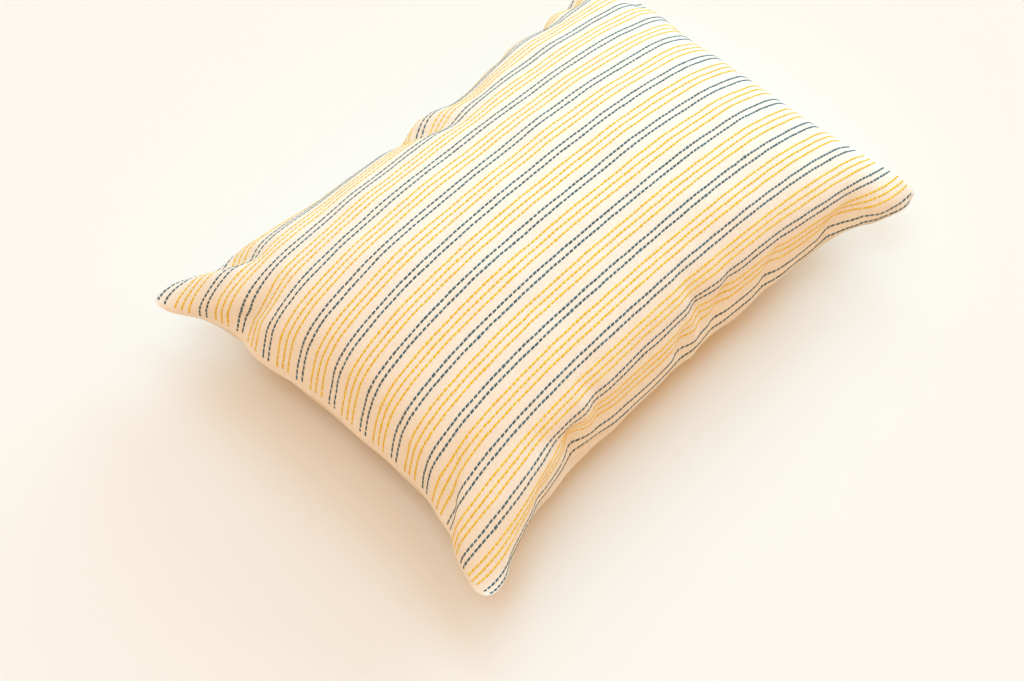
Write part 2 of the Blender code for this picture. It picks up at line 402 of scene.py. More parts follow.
@dataclass
class Cover:
    """The two panels sewn together, filled out by a short cloth simulation."""

    shape: FilledShape = field(default_factory=FilledShape)
    pressure: float = 4.0
    frames: int = 20
    hold: float = 0.12
    hold_stiffness: float = 0.4
    most_travel: float = 0.010
    unevenness: float = 0.0016
    unevenness_scale: float = 26.0
    unevenness_from: float = 0.02
    weld: float = 1e-5

    def add_panel(self, mesh: bmesh.types.BMesh, grid: Grid, facing_up: bool) -> None:
        """Add one panel as a grid, moved onto its points, with its places on the cloth kept.

        Args:
            mesh: The mesh to add to.
            grid: The panel's points.
            facing_up: Whether its right side faces up.
        """
        rows, columns = grid.shape[:2]
        side = mesh.verts.layers.float["back"]
        place_x = mesh.verts.layers.float["place_x"]
        place_y = mesh.verts.layers.float["place_y"]
        made = bmesh.ops.create_grid(mesh, x_segments=columns - 1, y_segments=rows - 1, size=1.0)
        for vert in made["verts"]:
            column = round((vert.co.x + 1) / 2 * (columns - 1))
            row = round((vert.co.y + 1) / 2 * (rows - 1))
            vert.co = grid[row, column]
            vert[side] = 0.0 if facing_up else 1.0
            vert[place_x], vert[place_y] = column, row
        if not facing_up:
            faces = list({face for vert in made["verts"] for face in vert.link_faces})
            bmesh.ops.reverse_faces(mesh, faces=faces)

    def sew(self) -> bpy.types.Object:
        """Sew the panels into one closed cover, with the seam kept as a knife edge.

        Returns:
            The cover, in the shape of the frame's solid.
        """
        front, back, _ = self.shape.grids()
        mesh = bmesh.new()
        for name in ("back", "place_x", "place_y"):
            mesh.verts.layers.float.new(name)
        self.add_panel(mesh, front, facing_up=True)
        self.add_panel(mesh, back, facing_up=False)
        bmesh.ops.remove_doubles(mesh, verts=mesh.verts, dist=self.weld)
        side = mesh.verts.layers.float["back"]
        place_x, place_y = mesh.verts.layers.float["place_x"], mesh.verts.layers.float["place_y"]
        for vert in mesh.verts:
            on_short_edge = round(vert[place_x]) in (0, self.shape.cells_long)
            on_long_edge = round(vert[place_y]) in (0, self.shape.cells_wide)
            if on_short_edge or on_long_edge:
                vert[side] = 0.0
        data = bpy.data.meshes.new("cover")
        mesh.to_mesh(data)
        mesh.free()
        return add_object("cover", data)

    def fill_out(self, cover: bpy.types.Object) -> None:
        """Let the cover fill out as cloth, from its flat cut lengths, held near its shape.

        Args:
            cover: The sewn cover, whose points are moved.
        """
        start = positions(cover.data)
        columns = np.rint(layer(cover.data, "place_x")).astype(int)
        rows = np.rint(layer(cover.data, "place_y")).astype(int)
        is_back = layer(cover.data, "back") > 0.5
        lines_x = self.shape.lines(self.shape.cells_long)
        lines_y = self.shape.lines(self.shape.cells_wide)
        flat_x, flat_y = self.shape.cut.to_metres(lines_x[columns], lines_y[rows])
        cut = np.stack([flat_x, flat_y, np.full_like(flat_x, self.shape.seam_height)], axis=1)
        cover.shape_key_add(name="filled")
        key = cover.shape_key_add(name="cut")
        key.data.foreach_set("co", cut.astype(np.float32).ravel())

        _, _, flat = self.shape.grids()
        resting = is_back & (flat[rows, columns] >= 1.0)
        group = cover.vertex_groups.new(name="held")
        group.add([int(i) for i in np.flatnonzero(~resting)], self.hold, "REPLACE")
        group.add([int(i) for i in np.flatnonzero(resting)], 1.0, "REPLACE")

        modifier = cover.modifiers.new("cloth", "CLOTH")
        cloth = modifier.settings
        cloth.quality = 7
        cloth.mass = 0.15
        cloth.tension_stiffness = cloth.compression_stiffness = 40
        cloth.shear_stiffness = 12
        cloth.bending_stiffness = 0.6
        cloth.tension_damping = cloth.compression_damping = 15
        cloth.shear_damping = 10
        cloth.bending_damping = 0.5
        cloth.air_damping = 5
        cloth.use_pressure = True
        cloth.uniform_pressure_force = self.pressure
        cloth.effector_weights.gravity = 0
        cloth.rest_shape_key = key
        cloth.vertex_group_mass = group.name
        cloth.pin_stiffness = self.hold_stiffness
        modifier.collision_settings.use_collision = False
        modifier.collision_settings.use_self_collision = False
        modifier.point_cache.frame_start = 1
        modifier.point_cache.frame_end = self.frames
        scene = bpy.context.scene
        for frame_number in range(1, self.frames + 1):
            scene.frame_set(frame_number)
        depsgraph = bpy.context.evaluated_depsgraph_get()
        filled = positions(cover.evaluated_get(depsgraph).data)
        scene.frame_set(1)
        cover.modifiers.remove(modifier)
        cover.shape_key_clear()

        travel = filled - start
        distance = np.linalg.norm(travel, axis=1, keepdims=True)
        LOG.info("the filling moved the cover by %.1f mm at most", distance.max() * 1000)
        travel *= np.minimum(1, self.most_travel / np.maximum(distance, 1e-9))
        place = start + travel
        place[:, 2] = np.maximum(place[:, 2], 0.0)
        move_to(cover.data, place)

    def crumple(self, cover: bpy.types.Object) -> None:
        """Give the cloth the slight unevenness of soft filling, but not where it rests.

        Args:
            cover: The cover, whose points are moved.
        """
        normals = np.zeros(len(cover.data.vertices) * 3, np.float32)
        cover.data.vertices.foreach_get("normal", normals)
        place = positions(cover.data)
        lift = np.array([
            noise.noise(Vector(point) * self.unevenness_scale) for point in place
        ])
        lift = lift * np.clip(place[:, 2] / self.unevenness_from, 0, 1) * self.unevenness
        place += normals.reshape(-1, 3) * lift[:, None]
        move_to(cover.data, place)

    def smooth(self, cover: bpy.types.Object) -> None:
        """Subdivide the cover once and keep the result, with its seam as an edge.

        Args:
            cover: The cover, whose mesh is replaced by the finer one.
        """
        columns, rows = layer(cover.data, "place_x"), layer(cover.data, "place_y")
        last_column, last_row = self.shape.cells_long, self.shape.cells_wide
        on_seam = (columns == 0) | (columns == last_column) | (rows == 0) | (rows == last_row)
        crease = cover.data.attributes.new("crease_edge", "FLOAT", "EDGE")
        values = [float(on_seam[edge.vertices[0]] and on_seam[edge.vertices[1]])
                  for edge in cover.data.edges]
        crease.data.foreach_set("value", values)
        modifier = cover.modifiers.new("smooth", "SUBSURF")
        modifier.levels = modifier.render_levels = 1
        depsgraph = bpy.context.evaluated_depsgraph_get()
        smoothed = bpy.data.meshes.new_from_object(cover.evaluated_get(depsgraph))
        cover.modifiers.remove(modifier)
        rough = cover.data
        cover.data = smoothed
        bpy.data.meshes.remove(rough)
        smoothed.name = "cover"
        for polygon in smoothed.polygons:
            polygon.use_smooth = True
        columns, rows = layer(smoothed, "place_x"), layer(smoothed, "place_y")
        on_seam = ((np.minimum(columns, last_column - columns) < SEAM_NEARNESS)
                   | (np.minimum(rows, last_row - rows) < SEAM_NEARNESS))
        sharp = smoothed.attributes.new("sharp_edge", "BOOLEAN", "EDGE")
        values = [bool(on_seam[edge.vertices[0]] and on_seam[edge.vertices[1]])
                  for edge in smoothed.edges]
        sharp.data.foreach_set("value", values)
        lines_x, lines_y = self.shape.lines(last_column), self.shape.lines(last_row)
        along = np.interp(columns, np.arange(last_column + 1), lines_x)
        across = np.interp(rows, np.arange(last_row + 1), lines_y)
        add_uv(smoothed, "cloth", np.stack(self.shape.cut.to_metres(along, across), axis=1))

    def build(self) -> bpy.types.Object:
        """Make the finished cover.

        Returns:
            The cover, with its places on the flat cloth as a UV map.
        """
        cover = self.sew()
        self.fill_out(cover)
        self.crumple(cover)
        self.smooth(cover)
        return cover


def add_object(name: str, data: Any) -> bpy.types.Object:
    """Add an object to the scene."""
    item = bpy.data.objects.new(name, data)
    bpy.context.scene.collection.objects.link(item)
    return item


def positions(data: bpy.types.Mesh) -> Points:
    """Read a mesh's vertex places."""
    values = np.zeros(len(data.vertices) * 3, np.float32)
    data.vertices.foreach_get("co", values)
    return values.reshape(-1, 3).astype(float)


def move_to(data: bpy.types.Mesh, places: Points) -> None:
    """Move a mesh's vertices."""
    data.vertices.foreach_set("co", places.astype(np.float32).ravel())
    data.update()


def layer(data: bpy.types.Mesh, name: str) -> Grid:
    """Read one of a mesh's number layers."""
    values = np.zeros(len(data.vertices), np.float32)
    data.attributes[name].data.foreach_get("value", values)
    return values


@dataclass
class FrontSurface:
    """The finished front panel, to lay stitches on by their places on the flat cloth."""

    cover: bpy.types.Object
    shape: FilledShape

    def __post_init__(self) -> None:
        """Read the panel back from the finished cover as a grid of points and normals."""
        data = self.cover.data
        co = positions(data)
        columns, rows = 2 * self.shape.cells_long + 1, 2 * self.shape.cells_wide + 1
        column = np.rint(layer(data, "place_x") * 2).astype(int)
        row = np.rint(layer(data, "place_y") * 2).astype(int)
        front = layer(data, "back") < 0.1
        self.points = np.zeros((rows, columns, 3))
        self.points[row[front], column[front]] = co[front]
        self.normals = outward(self.points)
        coarse_x = self.shape.lines(self.shape.cells_long) * self.shape.cut.length / 2
        coarse_y = self.shape.lines(self.shape.cells_wide) * self.shape.cut.width / 2
        self.lines_x = np.interp(np.arange(columns) / 2, np.arange(len(coarse_x)), coarse_x)
        self.lines_y = np.interp(np.arange(rows) / 2, np.arange(len(coarse_y)), coarse_y)

    def at(self, u: Grid, v: Grid) -> tuple[Points, Points]:
        """Find where places on the flat cloth came to lie.

        Args:
            u: Distances along the cloth from its middle.
            v: Distances across it.

        Returns:
            Their points and their unit normals.
        """
        column = np.interp(u, self.lines_x, np.arange(len(self.lines_x)))
        row = np.interp(v, self.lines_y, np.arange(len(self.lines_y)))
        i = np.minimum(column.astype(int), len(self.lines_x) - 2)
        j = np.minimum(row.astype(int), len(self.lines_y) - 2)
        s, t = (column - i)[..., None], (row - j)[..., None]
        found = []
        for grid in (self.points, self.normals):
            near = grid[j, i] * (1 - s) + grid[j, i + 1] * s
            far = grid[j + 1, i] * (1 - s) + grid[j + 1, i + 1] * s
            found.append(near * (1 - t) + far * t)
        normal = found[1] / np.linalg.norm(found[1], axis=-1, keepdims=True)
        return found[0], normal


@dataclass(frozen=True)
class Line:
    """One dashed line: the stripe it belongs to, and its place across the cloth."""

    stripe: int
    across: float


@dataclass
class StripeLayout:
    """Where the dashed lines run on the flat cloth, from the far long seam to the near one."""

    cut: Cut = Cut()
    repeats: int = 11
    gap_share: float = 1.56
    side_margin: float = 0.0017
    end_margin: float = 0.0034

    @property
    def half_run(self) -> float:
        """Half the length of cloth that the lines run over."""
        return self.cut.length / 2 - self.end_margin

    def lines(self) -> dict[Yarn, list[Line]]:
        """Work out every line: pairs of navy, with three of mustard between them.

        Returns:
            The lines of each yarn.
        """
        order = [Yarn.NAVY, Yarn.MUSTARD] * self.repeats + [Yarn.NAVY]
        steps, place = [], 0.0
        for number, yarn in enumerate(order):
            for _ in range(yarn.value):
                steps.append((yarn, number, place))
                place += 1
            place += self.gap_share - 1
        first = self.cut.width / 2 - self.side_margin
        spacing = 2 * first / steps[-1][2]
        found: dict[Yarn, list[Line]] = {Yarn.NAVY: [], Yarn.MUSTARD: []}
        for yarn, number, at in steps:
            found[yarn].append(Line(number, first - at * spacing))
        return found


@dataclass
class RunningStitch:
    """Rows of short yarn floats in one colour, laid on the front as one mesh."""

    yarn: Yarn
    surface: FrontSurface
    layout: StripeLayout
    float_share: float
    pitch: float = 0.0041
    yarn_width: float = 0.00178
    yarn_height: float = 0.00050
    sunk: float = 0.00010
    wander: float = 0.00016
    skew: float = 0.12
    slant: float = 0.30
    place_jitter: float = 0.025
    side_jitter: float = 0.00006
    length_jitter: float = 0.04
    width_jitter: float = 0.05
    wave_periods: tuple[float, ...] = (0.031, 0.083, 0.19)
    wave_calm: float = 1.7
    usual_tone: float = 0.5
    tone_jitter: float = 0.16
    tone_wave: float = 0.15
    least_end: float = 0.15
    evening: float = 0.4
    slub_share: float = 0.012
    slub_swell: float = 0.25
    shoulder_place: float = 0.84
    shoulder_width: float = 1.34
    shoulder_height: float = 1.28
    stripe_seed: int = 57
    line_seed: int = 700

    def template(self) -> tuple[Points, Grid]:
        """Make one float of unit size, lying along X with blunt ends.

        Returns:
            Its vertices, and its faces as rows of vertex numbers, with -1 where a row is short.
        """
        mesh = bmesh.new()
        bmesh.ops.create_uvsphere(mesh, u_segments=8, v_segments=4, radius=1.0)
        turn = Matrix.Rotation(math.pi / 2, 3, "Y")
        bmesh.ops.rotate(mesh, verts=mesh.verts, cent=(0, 0, 0), matrix=turn)
        for vert in mesh.verts:
            if 0.3 < abs(vert.co.x) < 0.9:
                vert.co.x = math.copysign(self.shoulder_place, vert.co.x)
                vert.co.y *= self.shoulder_width
                vert.co.z *= self.shoulder_height
        mesh.verts.ensure_lookup_table()
        points = np.array([vert.co for vert in mesh.verts])
        faces = [[vert.index for vert in face.verts] for face in mesh.faces]
        mesh.free()
        padded_faces = np.array([row + [-1] * (4 - len(row)) for row in faces])
        return points, padded_faces

    def scatter(self) -> dict[str, Grid]:
        """Scatter the floats along their lines.

        Returns:
            For each float its place along and across the cloth, its length, its width and its
            tone. The floats of one stripe start together, a little skewed from line to line.
        """
        half = self.layout.half_run
        count = round(2 * half / self.pitch)
        step = 2 * half / count
        even = np.linspace(-half, half, count + 1)
        rows: dict[str, list[Grid]] = {name: [] for name in ("u", "v", "length", "width", "tone")}
        for number, line in enumerate(self.layout.lines()[self.yarn]):
            start = np.random.default_rng(self.stripe_seed + line.stripe).uniform(-0.5, 0.5)
            rng = np.random.default_rng(self.line_seed + 10 * line.stripe + number)
            shift = (start + rng.normal(0, self.skew)) * step
            u = even + shift + rng.normal(0, self.place_jitter, len(even)) * step
            u = u[np.abs(u) < half + self.least_end * step]
            kept = len(u)
            wave = sum(
                np.sin(u * 2 * math.pi / period + rng.uniform(0, 2 * math.pi))
                for period in self.wave_periods
            )
            slub = rng.uniform(0, 1, kept) < self.slub_share
            rows["u"].append(u)
            drift = self.wander * wave / self.wave_calm
            rows["v"].append(line.across + drift + rng.normal(0, self.side_jitter, kept))
            lengths = rng.normal(1.0, self.length_jitter, kept)
            rows["length"].append(self.pitch * self.float_share * lengths)
            widths = rng.normal(1.0, self.width_jitter, kept)
            rows["width"].append(self.yarn_width * widths * (1 + self.slub_swell * slub))
            tone = rng.normal(self.usual_tone, self.tone_jitter, kept)
            rows["tone"].append(np.clip(tone + self.tone_wave * np.sin(wave * 2), 0, 1))
        return {name: np.concatenate(values) for name, values in rows.items()}

    def build(self, material: bpy.types.Material) -> bpy.types.Object:
        """Lay every float on the cover and join them into one piece.

        Args:
            material: The yarn's material.

        Returns:
            The piece.
        """
        points, faces = self.template()
        floats = self.scatter()
        across_float = points[None, :, 1] * floats["width"][:, None] / 2
        along_float = points[None, :, 0] * floats["length"][:, None] / 2 + self.slant * across_float
        half_run = self.layout.half_run
        u = np.clip(floats["u"][:, None] + along_float, -half_run, half_run)
        v = np.broadcast_to(floats["v"][:, None], u.shape)
        base, normal = self.surface.at(u, v)
        across = self.surface.at(u, v + self.sunk)[0] - self.surface.at(u, v - self.sunk)[0]
        across /= 2 * self.sunk
        across /= np.linalg.norm(across, axis=-1, keepdims=True) ** self.evening
        lift = points[None, :, 2] * self.yarn_height - self.sunk
        placed = base + across * across_float[..., None] + normal * lift[..., None]
        placed = placed.reshape(-1, 3)
        corners = []
        for number in range(len(floats["u"])):
            start = number * len(points)
            corners.extend([start + k for k in row if k >= 0] for row in faces.tolist())
        data = bpy.data.meshes.new("stitches")
        data.from_pydata(placed.tolist(), [], corners)
        tone = data.attributes.new("tone", "FLOAT", "POINT")
        tone.data.foreach_set("value", np.repeat(floats["tone"], len(points)).astype(np.float32))
        dip = data.attributes.new("dip", "FLOAT", "POINT")
        ends = np.tile(np.abs(points[:, 0]), len(floats["u"]))
        dip.data.foreach_set("value", ends.astype(np.float32))
        add_uv(data, "yarn", np.stack([along_float.ravel(), across_float.ravel()], axis=1))
        for polygon in data.polygons:
            polygon.use_smooth = True
        data.materials.append(material)
        data.update()
        name = f"{self.yarn.name.lower()}_stitches"
        LOG.info("%s: %d floats", name, len(floats["u"]))
        return add_object(name, data)


def add_uv(data: bpy.types.Mesh, name: str, places: Grid) -> None:
    """Give a mesh a UV map in metres from one place for each vertex."""
    layer = data.uv_layers.new(name=name)
    corners = np.zeros(len(data.loops), np.int32)
    data.loops.foreach_get("vertex_index", corners)
    layer.data.foreach_set("uv", places[corners].astype(np.float32).ravel())


class NodeBench:
    """A short way to add shader nodes to one tree and to join them."""

    def __init__(self, tree: bpy.types.NodeTree) -> None:
        """Work on this tree."""
        self.tree = tree

    def node(self, kind: str, **options: Any) -> bpy.types.Node:
        """Add a node and set its options."""
        node = self.tree.nodes.new(kind)
        for name, value in options.items():
            setattr(node, name, value)
        return node

    def plug(self, socket: bpy.types.NodeSocket, value: Any) -> None:
        """Join another socket to this one, or give this one a fixed value."""
        if isinstance(value, bpy.types.NodeSocket):
            self.tree.links.new(value, socket)
        else:
            socket.default_value = value

    def math(self, operation: str, *values: Any, clamped: bool = False) -> bpy.types.NodeSocket:
        """Add a Math node on up to three values."""
        node = self.node("ShaderNodeMath", operation=operation, use_clamp=clamped)
        for socket, value in zip(node.inputs, values):
            self.plug(socket, value)
        return node.outputs["Value"]

    def mix(self, share: Any, low: Any, high: Any) -> bpy.types.NodeSocket:
        """Blend two colours.

        Args:
            share: How much of the high colour shows.
            low: The colour at 0.
            high: The colour at 1.

        Returns:
            The blended colour's socket.
        """
        node = self.node("ShaderNodeMix", data_type="RGBA")
        sockets = {socket.identifier: socket for socket in node.inputs}
        self.plug(sockets["Factor_Float"], share)
        self.plug(sockets["A_Color"], low)
        self.plug(sockets["B_Color"], high)
        return next(out for out in node.outputs if out.identifier == "Result_Color")

    def fed(self, kind: str, inputs: dict[str, Any], **options: Any) -> Any:
        """Add a node and fill its inputs.

        Args:
            kind: The node's type.
            inputs: What to join or give to each named input.
            **options: The node's options.

        Returns:
            Its outputs.
        """
        node = self.node(kind, **options)
        for name, value in inputs.items():
            self.plug(node.inputs[name], value)
        return node.outputs

    def vector(self, x: Any, y: Any, z: Any = 0.0) -> bpy.types.NodeSocket:
        """Put three numbers together as a place."""
        return self.fed("ShaderNodeCombineXYZ", {"X": x, "Y": y, "Z": z})["Vector"]

    def parts(self, place: bpy.types.NodeSocket) -> tuple[Any, Any]:
        """Take a place's X and Y."""
        outputs = self.fed("ShaderNodeSeparateXYZ", {"Vector": place})
        return outputs["X"], outputs["Y"]

    def noise(self, place: Any, scale: float, detail: float = 2.0) -> bpy.types.NodeSocket:
        """Add a noise, from 0 to 1."""
        inputs = {"Vector": place, "Scale": scale, "Detail": detail}
        return self.fed("ShaderNodeTexNoise", inputs)["Fac"]

    def span(self, value: Any, low: float, high: float) -> bpy.types.NodeSocket:
        """Turn a value from low to high into a smooth share from 0 to 1."""
        inputs = {"Value": value, "From Min": low, "From Max": high}
        return self.fed("ShaderNodeMapRange", inputs, interpolation_type="SMOOTHSTEP")["Result"]

    def bump(self, height: Any, distance: float, strength: float = 1.0, before: Any = None) -> Any:
        """Add a bump whose height of 1 stands for a distance in metres.

        Args:
            height: The height to read.
            distance: The distance in metres.
            strength: How much of the bump shows.
            before: A normal from an earlier bump, or None.

        Returns:
            The new normal's socket.
        """
        inputs = {"Height": height, "Distance": distance, "Strength": strength}
        if before is not None:
            inputs["Normal"] = before
        return self.fed("ShaderNodeBump", inputs)["Normal"]


def new_group(name: str, inputs: dict[str, Any], outputs: dict[str, str]) -> NodeBench:
    """Start a shader node group.

    Args:
        name: The group's name.
        inputs: Its inputs, each a socket type with its usual value, or None for none.
        outputs: Its outputs, each with a socket type.

    Returns:
        A bench on the group's tree.
    """
    tree = bpy.data.node_groups.new(name, "ShaderNodeTree")
    for title, (kind, usual) in inputs.items():
        socket = tree.interface.new_socket(title, in_out="INPUT", socket_type=kind)
        if usual is not None:
            socket.default_value = usual
    for title, kind in outputs.items():
        tree.interface.new_socket(title, in_out="OUTPUT", socket_type=kind)
    return NodeBench(tree)


def plain_weave() -> bpy.types.NodeTree:
    """The weave group: threads that cross over and under, each with its own thick and thin runs.

    Returns:
        The group.
    """
    bench = new_group(
        "plain weave",
        {"Place": ("NodeSocketVector", None), "Pitch": ("NodeSocketFloat", 0.0008),
         "Slub": ("NodeSocketFloat", 0.5)},
        {"Height": "NodeSocketFloat", "Tone": "NodeSocketFloat"},
    )
    given = bench.node("NodeGroupInput").outputs
    x, y = bench.parts(given["Place"])
    across = [bench.math("DIVIDE", part, given["Pitch"]) for part in (x, y)]
    number = [bench.math("FLOOR", part) for part in across]
    inside = [bench.math("SUBTRACT", bench.math("FRACT", part), 0.5) for part in across]
    bulge = [bench.math("COSINE", bench.math("MULTIPLY", part, math.pi)) for part in inside]
    parity = bench.math("FLOORED_MODULO", bench.math("ADD", *number), 2.0)
    over = bench.math("MULTIPLY_ADD", parity, 2.0, -1.0)

    crossing_rise, usual_height = 0.30, 0.70
    heights = []
    for own, other, rise in ((0, 1, crossing_rise), (1, 0, -crossing_rise)):
        crest = bench.math("MULTIPLY", bench.math("MULTIPLY", over, bulge[other]), rise)
        raised = bench.math("ADD", crest, usual_height)
        heights.append(bench.math("MULTIPLY", bulge[own], raised))
    height = bench.math("MAXIMUM", *heights)
    lengthways_on_top = bench.math("GREATER_THAN", *heights)

    slubs_to_the_metre, between_threads, between_ways = 45.0, 3.7, 9.0
    tones = []
    for own, along in ((0, y), (1, x)):
        strand = bench.math("MULTIPLY", number[own], between_threads)
        length = bench.math("MULTIPLY", along, slubs_to_the_metre)
        stretched = bench.vector(strand, length, between_ways * own)
        tones.append(bench.noise(stretched, 1.0, 1.0))
    difference = bench.math("SUBTRACT", tones[0], tones[1])
    tone = bench.math("MULTIPLY_ADD", difference, lengthways_on_top, tones[1])
    thick = bench.math("MULTIPLY", bench.math("SUBTRACT", tone, 0.5), given["Slub"])
    height = bench.math("MULTIPLY", height, bench.math("ADD", thick, 1.0))
    bench.fed("NodeGroupOutput", {"Height": height, "Tone": tone})
    return bench.tree


def fibre_fuzz() -> bpy.types.NodeTree:
    """The fuzz group: fine stray fibres and the soft blotches of undyed and dyed cotton.

    Returns:
        The group.
    """
    bench = new_group(
        "fibre fuzz",
        {"Place": ("NodeSocketVector", None)},
        {"Fuzz": "NodeSocketFloat", "Grain": "NodeSocketFloat", "Blotch": "NodeSocketFloat"},
    )
    place = bench.node("NodeGroupInput").outputs["Place"]
    bench.fed("NodeGroupOutput", {
        "Fuzz": bench.noise(place, FUZZ_SCALE, 3.0),
        "Grain": bench.noise(place, GRAIN_SCALE, 2.0),
        "Blotch": bench.noise(place, BLOTCH_SCALE, 4.0),
    })
    return bench.tree


@dataclass(frozen=True)
class Finish:
    """One cotton finish: its light and dark colours, its roughness and its sheen.

    A yarn's finish also says which share of each repeat its float covers.
    """

    name: str
    light: tuple[float, float, float]
    dark: tuple[float, float, float]
    roughness: float = 0.92
    sheen: float = 0.12
    specular: float = 0.22
    float_share: float = 1.0


CREAM = Finish("cream_cotton", (0.98, 0.935, 0.84), (0.95, 0.885, 0.76))
YARN_FINISHES = {
    Yarn.NAVY: Finish("navy_yarn", (0.105, 0.225, 0.285), (0.046, 0.108, 0.145),
                      roughness=0.8, float_share=0.87),
    Yarn.MUSTARD: Finish("mustard_yarn", (0.98, 0.73, 0.050), (0.90, 0.56, 0.012),
                         roughness=0.8, float_share=0.93),
}
GRAIN_TINT = (0.80, 0.70, 0.55)


@dataclass
class CottonMaterials:
    """The materials of the cover and its yarns, which share the weave and fuzz groups."""

    cut: Cut = Cut()
    weave_pitch: float = 0.00085
    weave_depth: float = 0.00022
    seam_width: float = 0.0007
    pucker_reach: float = 0.009
    pucker_depth: float = 0.0012
    puckers_along: float = 190.0
    puckers_inwards: float = 25.0
    twist_pitch: float = 0.00062
    nap_share: float = 0.28
    hollow_shade: float = 0.62
    hollow_shade_share: float = 0.45
    seam_shade_share: float = 0.10
    furrow_shade: float = 0.5
    furrow_shade_share: float = 0.28
    dive_shade_share: float = 0.35

    def __post_init__(self) -> None:
        """Build the shared groups once."""
        self.weave = plain_weave()
        self.fuzz = fibre_fuzz()

    def start(self, finish: Finish) -> tuple[bpy.types.Material, NodeBench, Any, Any]:
        """Start a cotton material with its fixed values and its fuzz.

        Args:
            finish: The finish to take the values from.

        Returns:
            The material, a bench on its tree, its shader, and the fuzz group's outputs.
        """
        material = bpy.data.materials.new(finish.name)
        shader = shader_of(material)
        shader.inputs["Roughness"].default_value = finish.roughness
        shader.inputs["Sheen Weight"].default_value = finish.sheen
        shader.inputs["Specular IOR Level"].default_value = finish.specular
        bench = NodeBench(material.node_tree)
        place = bench.node("ShaderNodeTexCoord").outputs["Object"]
        fuzz = bench.node("ShaderNodeGroup", node_tree=self.fuzz)
        bench.plug(fuzz.inputs["Place"], place)
        return material, bench, shader, fuzz.outputs

    def seam(self, bench: NodeBench, place: Any) -> tuple[Any, Any]:
        """Work out the seam line and its puckers from places on the flat cloth.

        Args:
            bench: The bench to work on.
            place: The place on the flat cloth, in metres.

        Returns:
            A mask of the seam line, for its painted shade and groove, and the puckers' height.
        """
        x, y = bench.parts(place)
        gaps = [
            bench.math("SUBTRACT", half, bench.math("ABSOLUTE", part))
            for part, half in ((x, self.cut.length / 2), (y, self.cut.width / 2))
        ]
        gap = bench.math("MINIMUM", *gaps)
        line = bench.math("SUBTRACT", 1.0, bench.span(gap, 0.0, self.seam_width))
        by_short_edge = bench.math("LESS_THAN", *gaps)
        stretched = [bench.vector(bench.math("MULTIPLY", part, self.puckers_along),
                                  bench.math("MULTIPLY", distance, self.puckers_inwards), offset)
                     for part, distance, offset in ((y, gaps[0], 3.0), (x, gaps[1], 0.0))]
        waves = [bench.noise(vector, 1.0, 1.5) for vector in stretched]
        difference = bench.math("SUBTRACT", *waves)
        wave = bench.math("MULTIPLY_ADD", difference, by_short_edge, waves[1])
        fade = bench.math("SUBTRACT", 1.0, bench.span(gap, 0.0, self.pucker_reach))
        return line, bench.math("MULTIPLY", wave, fade)

    def cream(self) -> bpy.types.Material:
        """Cream plain weave with a sewn edge and painted shade in its hollows and along its seam.

        Returns:
            The material.
        """
        material, bench, shader, fuzz = self.start(CREAM)
        place = bench.node("ShaderNodeUVMap", uv_map="cloth").outputs["UV"]
        weave = bench.node("ShaderNodeGroup", node_tree=self.weave)
        bench.plug(weave.inputs["Place"], place)
        bench.plug(weave.inputs["Pitch"], self.weave_pitch)
        line, pucker = self.seam(bench, place)

        thread = bench.span(weave.outputs["Tone"], 0.30, 0.70)
        body = bench.mix(thread, (*CREAM.dark, 1), (*CREAM.light, 1))
        pale = bench.mix(0.5, body, (*CREAM.light, 1))
        body = bench.mix(bench.span(fuzz["Blotch"], 0.35, 0.65), body, pale)
        nap = bench.span(fuzz["Grain"], 0.40, 0.64)
        body = bench.mix(bench.math("MULTIPLY", nap, self.nap_share), body, (*GRAIN_TINT, 1))
        # Painted shade: the cloth darkens in the weave's hollows between threads, where shade would
        # fall.
        hollow = bench.math("SUBTRACT", 1.0, bench.span(weave.outputs["Height"], 0.0, 0.55))
        shade = tuple(self.hollow_shade * value for value in CREAM.dark)
        body = bench.mix(bench.math("MULTIPLY", hollow, self.hollow_shade_share), body, (*shade, 1))
        # Painted shade: a faint darkening along the seam, where the groove between the panels lies
        # in shade.
        body = bench.mix(bench.math("MULTIPLY", line, self.seam_shade_share), body, (*shade, 1))
        bench.plug(shader.inputs["Base Color"], body)
        rough = bench.math("MULTIPLY_ADD", fuzz["Fuzz"], 0.12, CREAM.roughness - 0.06)
        bench.plug(shader.inputs["Roughness"], rough)

        normal = bench.bump(pucker, self.pucker_depth)
        normal = bench.bump(line, self.seam_width, 0.2, normal)
        normal = bench.bump(fuzz["Blotch"], 0.0005, 0.6, normal)
        normal = bench.bump(weave.outputs["Height"], self.weave_depth, 0.8, normal)
        normal = bench.bump(fuzz["Fuzz"], 0.00012, 0.6, normal)
        bench.plug(shader.inputs["Normal"], normal)
        return material

    def yarn(self, finish: Finish) -> bpy.types.Material:
        """Twisted soft yarn in one colour, with painted shade in its furrows and at each float's
        ends.

        Args:
            finish: The yarn's finish.

        Returns:
            The material.
        """
        material, bench, shader, fuzz = self.start(finish)
        x, y = bench.parts(bench.node("ShaderNodeUVMap", uv_map="yarn").outputs["UV"])
        slant = bench.math("MULTIPLY_ADD", y, 1.1, x)
        turn = bench.math("MULTIPLY", slant, math.pi / self.twist_pitch)
        strand = bench.math("ABSOLUTE", bench.math("SINE", turn))
        tone = bench.node("ShaderNodeAttribute", attribute_name="tone").outputs["Fac"]
        dip = bench.node("ShaderNodeAttribute", attribute_name="dip").outputs["Fac"]

